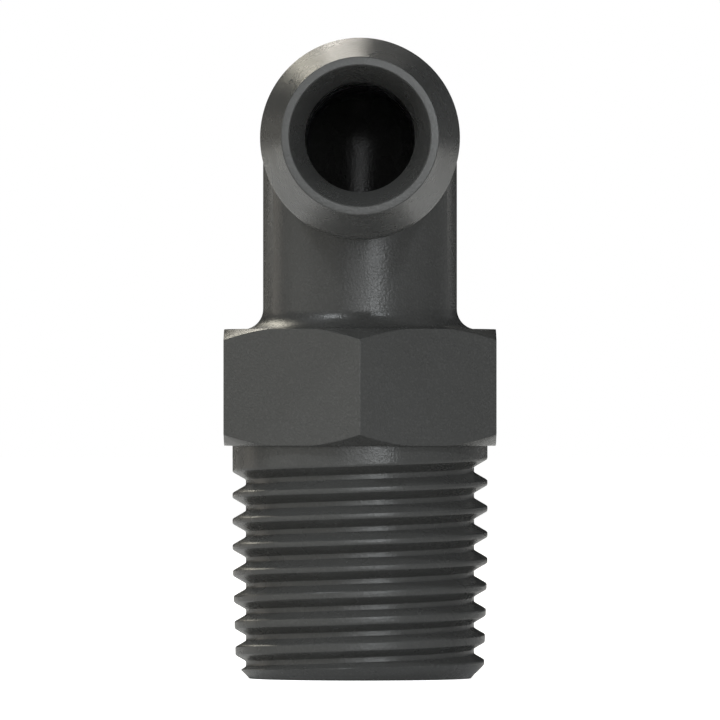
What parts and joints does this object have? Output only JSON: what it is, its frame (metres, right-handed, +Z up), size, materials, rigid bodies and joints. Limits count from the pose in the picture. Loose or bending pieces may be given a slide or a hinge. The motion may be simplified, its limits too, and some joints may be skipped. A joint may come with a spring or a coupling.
{
  "type": "elbow hose connector",
  "caption": "Right-angle moulded plastic connector: tapered male pipe thread, wrench hexagon, round elbow and a barbed hose tail.",
  "frame": {"origin": "centre of the threaded end face, on the thread's axis", "axes": "+Z up the thread's axis from the end face to the elbow, -Y out of the hose tail, +X square to both, through two flats of the hexagon"},
  "size_m": [0.014, 0.0304, 0.0325],
  "materials": {
    "body": "satin, fine grain"
  },
  "bodies": {
    "root": {"elbow_body": "body"}
  },
  "joints": []
}
